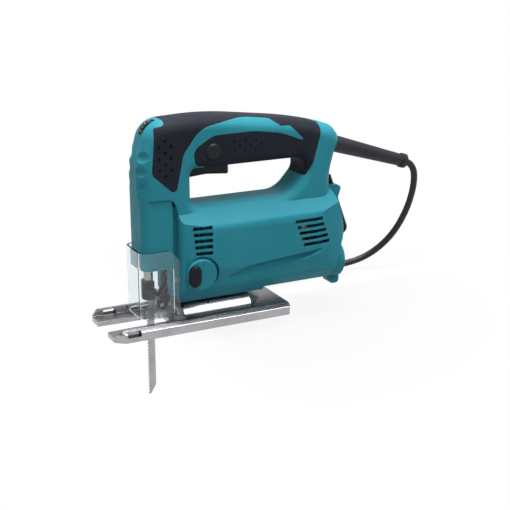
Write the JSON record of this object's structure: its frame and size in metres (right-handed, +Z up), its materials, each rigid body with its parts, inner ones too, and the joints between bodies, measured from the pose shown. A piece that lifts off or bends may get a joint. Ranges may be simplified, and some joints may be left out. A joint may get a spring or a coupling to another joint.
{
  "type": "jigsaw",
  "caption": "Corded top-handle jigsaw with a tilting, sliding shoe, orbital guide roller, clear dust cover, reciprocating blade and coiled cord.",
  "frame": {"origin": "where the blade's axis meets the sole of the shoe", "axes": "+X to the rear where the cord leaves, +Z up along the blade, -Y to the user's left"},
  "size_m": [0.3507, 0.207, 0.2686],
  "materials": {
    "teal_plastic": "satin",
    "grip_rubber": "matte",
    "black_plastic": "matte",
    "dark_lever": "satin",
    "clear_cover": "gloss",
    "shoe_metal": "satin",
    "steel": "satin",
    "blade_steel": "satin",
    "dark_steel": "satin",
    "core_steel": "matte",
    "winding": "satin",
    "copper": "satin",
    "bronze": "matte",
    "carbon": "matte",
    "cord_rubber": "matte",
    "pin_metal": "gloss"
  },
  "bodies": {
    "housing": {"housing_left": "teal_plastic", "housing_right": "teal_plastic", "grip_left": "grip_rubber", "grip_right": "grip_rubber", "housing_screws": "dark_steel", "stator_core": "core_steel", "field_coils": "winding", "front_bearing": "steel", "rear_bearing": "steel", "brush_holders": "bronze", "carbon_brushes": "carbon", "gear_pin": "steel", "slider_guides": "bronze", "fork_pin": "steel", "shoe_bolt": "dark_steel", "bolt_washer": "steel", "switch_body": "black_plastic", "speed_controller": "black_plastic", "dust_pipe": "black_plastic", "cord_guard": "cord_rubber", "cord_inner": "cord_rubber", "cord_clamp": "black_plastic", "cord_lead": "cord_rubber", "cord_coil": "cord_rubber", "cord_tail": "cord_rubber", "cord_tie": "black_plastic", "plug_body": "cord_rubber", "plug_pins": "pin_metal"},
    "armature": {"armature_shaft": "steel", "armature_core": "core_steel", "armature_windings": "winding", "commutator": "copper", "fan": "black_plastic"},
    "crank": {"drive_gear": "steel", "crank_pin": "steel"},
    "slider": {"slider_rod": "steel", "blade_clamp": "dark_steel", "clamp_screw": "dark_steel", "blade": "blade_steel"},
    "roller_arm": {"roller_fork": "dark_steel", "roller_pin": "steel"},
    "roller": {"guide_roller": "steel"},
    "orbit_selector": {"orbit_dial": "teal_plastic", "orbit_lever": "dark_lever"},
    "trigger": {"trigger": "black_plastic"},
    "lock_button": {"lock_button": "black_plastic"},
    "speed_dial": {"speed_dial": "black_plastic"},
    "dust_cover": {"dust_cover": "clear_cover"},
    "saddle": {"saddle": "black_plastic"},
    "shoe": {"shoe": "shoe_metal"},
    "hex_wrench": {"hex_wrench": "dark_steel"}
  },
  "joints": [
    {"name": "motor_spin", "type": "hinge", "parent": "housing", "child": "armature", "pos_m": [0.1, 0, 0.0659], "axis": [1, 0, 0], "continuous": true},
    {"name": "gear_spin", "type": "hinge", "parent": "housing", "child": "crank", "pos_m": [0.033, 0, 0.092], "axis": [1, 0, 0], "continuous": true},
    {"name": "blade_stroke", "type": "slide", "parent": "housing", "child": "slider", "axis": [0, 0, 1], "range_m": [-0.009, 0.009]},
    {"name": "roller_swing", "type": "hinge", "parent": "housing", "child": "roller_arm", "pos_m": [0.022, 0, 0.046], "axis": [0, -1, 0], "range_deg": [0, 3]},
    {"name": "roller_spin", "type": "hinge", "parent": "roller_arm", "child": "roller", "pos_m": [0.01102, 0, 0.019], "axis": [0, 1, 0], "continuous": true},
    {"name": "orbit_turn", "type": "hinge", "parent": "housing", "child": "orbit_selector", "pos_m": [0.0425, -0.03, 0.0513], "axis": [0, 1, 0], "range_deg": [0, 90]},
    {"name": "trigger_pull", "type": "slide", "parent": "housing", "child": "trigger", "axis": [0, 0, 1], "range_m": [0, 0.005], "stiffness_N_per_m": 900, "springref_m": -0.003},
    {"name": "lock_press", "type": "slide", "parent": "housing", "child": "lock_button", "axis": [0, 1, 0], "range_m": [0, 0.003], "stiffness_N_per_m": 700, "springref_m": -0.002},
    {"name": "speed_turn", "type": "hinge", "parent": "housing", "child": "speed_dial", "pos_m": [0.008, 0, 0.1825], "axis": [0, 1, 0], "range_deg": [0, 270]},
    {"name": "cover_lift", "type": "slide", "parent": "housing", "child": "dust_cover", "axis": [0, 0, 1], "range_m": [0, 0.03]},
    {"name": "shoe_slide", "type": "slide", "parent": "housing", "child": "saddle", "axis": [1, 0, 0], "range_m": [0, 0.022]},
    {"name": "shoe_tilt", "type": "hinge", "parent": "saddle", "child": "shoe", "pos_m": [0.06, 0, 0], "axis": [1, 0, 0], "range_deg": [-15, 15]},
    {"name": "wrench_pull", "type": "slide", "parent": "housing", "child": "hex_wrench", "axis": [1, 0, 0], "range_m": [0, 0.025]}
  ],
  "couplings": [
    {"joint": "gear_spin", "follows": "motor_spin", "ratio": -0.16}
  ]
}
